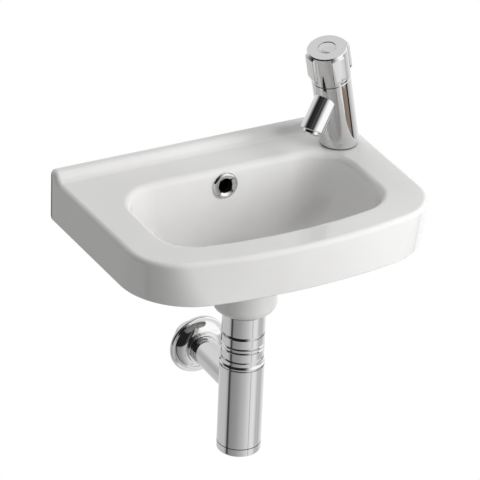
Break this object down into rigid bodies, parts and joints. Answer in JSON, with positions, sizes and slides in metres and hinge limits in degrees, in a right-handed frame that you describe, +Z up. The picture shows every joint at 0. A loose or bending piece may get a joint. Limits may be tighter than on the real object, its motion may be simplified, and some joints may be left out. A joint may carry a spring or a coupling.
{
  "type": "hand basin",
  "caption": "Wall-hung hand basin with a pillar tap on its right, overflow hole, push-open waste and bottle trap, for washing hands in a small room.",
  "frame": {"origin": "middle of the two wall bolt holes, on the face that lies against the wall", "axes": "+Z up, +Y into the wall, +X along the wall towards the tap"},
  "size_m": [0.36, 0.2739, 0.4616],
  "materials": {
    "ceramic": "glossy white glaze",
    "chrome": "polished",
    "brass": "machined",
    "rubber": "matt black",
    "plastic": "moulded",
    "disc_ceramic": "lapped",
    "steel": "plain"
  },
  "bodies": {
    "fixture": {"basin": "ceramic", "overflow_ring": "chrome", "waste_body": "chrome", "flange_seal": "rubber", "plug_guide": "plastic", "boss_washer": "rubber", "waste_backnut": "chrome", "coupling_nut": "chrome", "coupling_seal": "rubber", "dip_tube": "chrome", "collar_nut": "chrome", "collar_seal": "rubber", "trap_body": "chrome", "trap_cup": "chrome", "cup_seal": "rubber", "outlet_pipe": "chrome", "wall_rosette": "chrome", "tap_body": "chrome", "aerator_housing": "chrome", "aerator_insert": "plastic", "headwork_seal": "rubber", "headwork": "brass", "fixed_disc": "disc_ceramic", "spindle_ring": "rubber", "tap_base_seal": "rubber", "tap_shank": "brass", "deck_washer": "rubber", "clamp_washer": "steel", "tap_backnut": "brass"},
    "handle": {"tap_knob": "chrome", "knob_button": "chrome", "knob_screw": "steel", "spindle": "brass", "moving_disc": "disc_ceramic"},
    "plug": {"waste_plug": "chrome", "plug_seal": "rubber", "plug_stem": "steel"}
  },
  "joints": [
    {"name": "tap_turn", "type": "hinge", "parent": "fixture", "child": "handle", "pos_m": [0.145, -0.0517, 0.033], "axis": [-0.2475, -0.1288, 0.9603], "range_deg": [0, 90]},
    {"name": "plug_rise", "type": "slide", "parent": "fixture", "child": "plug", "axis": [0, 0, 1], "range_m": [0, 0.008]}
  ]
}
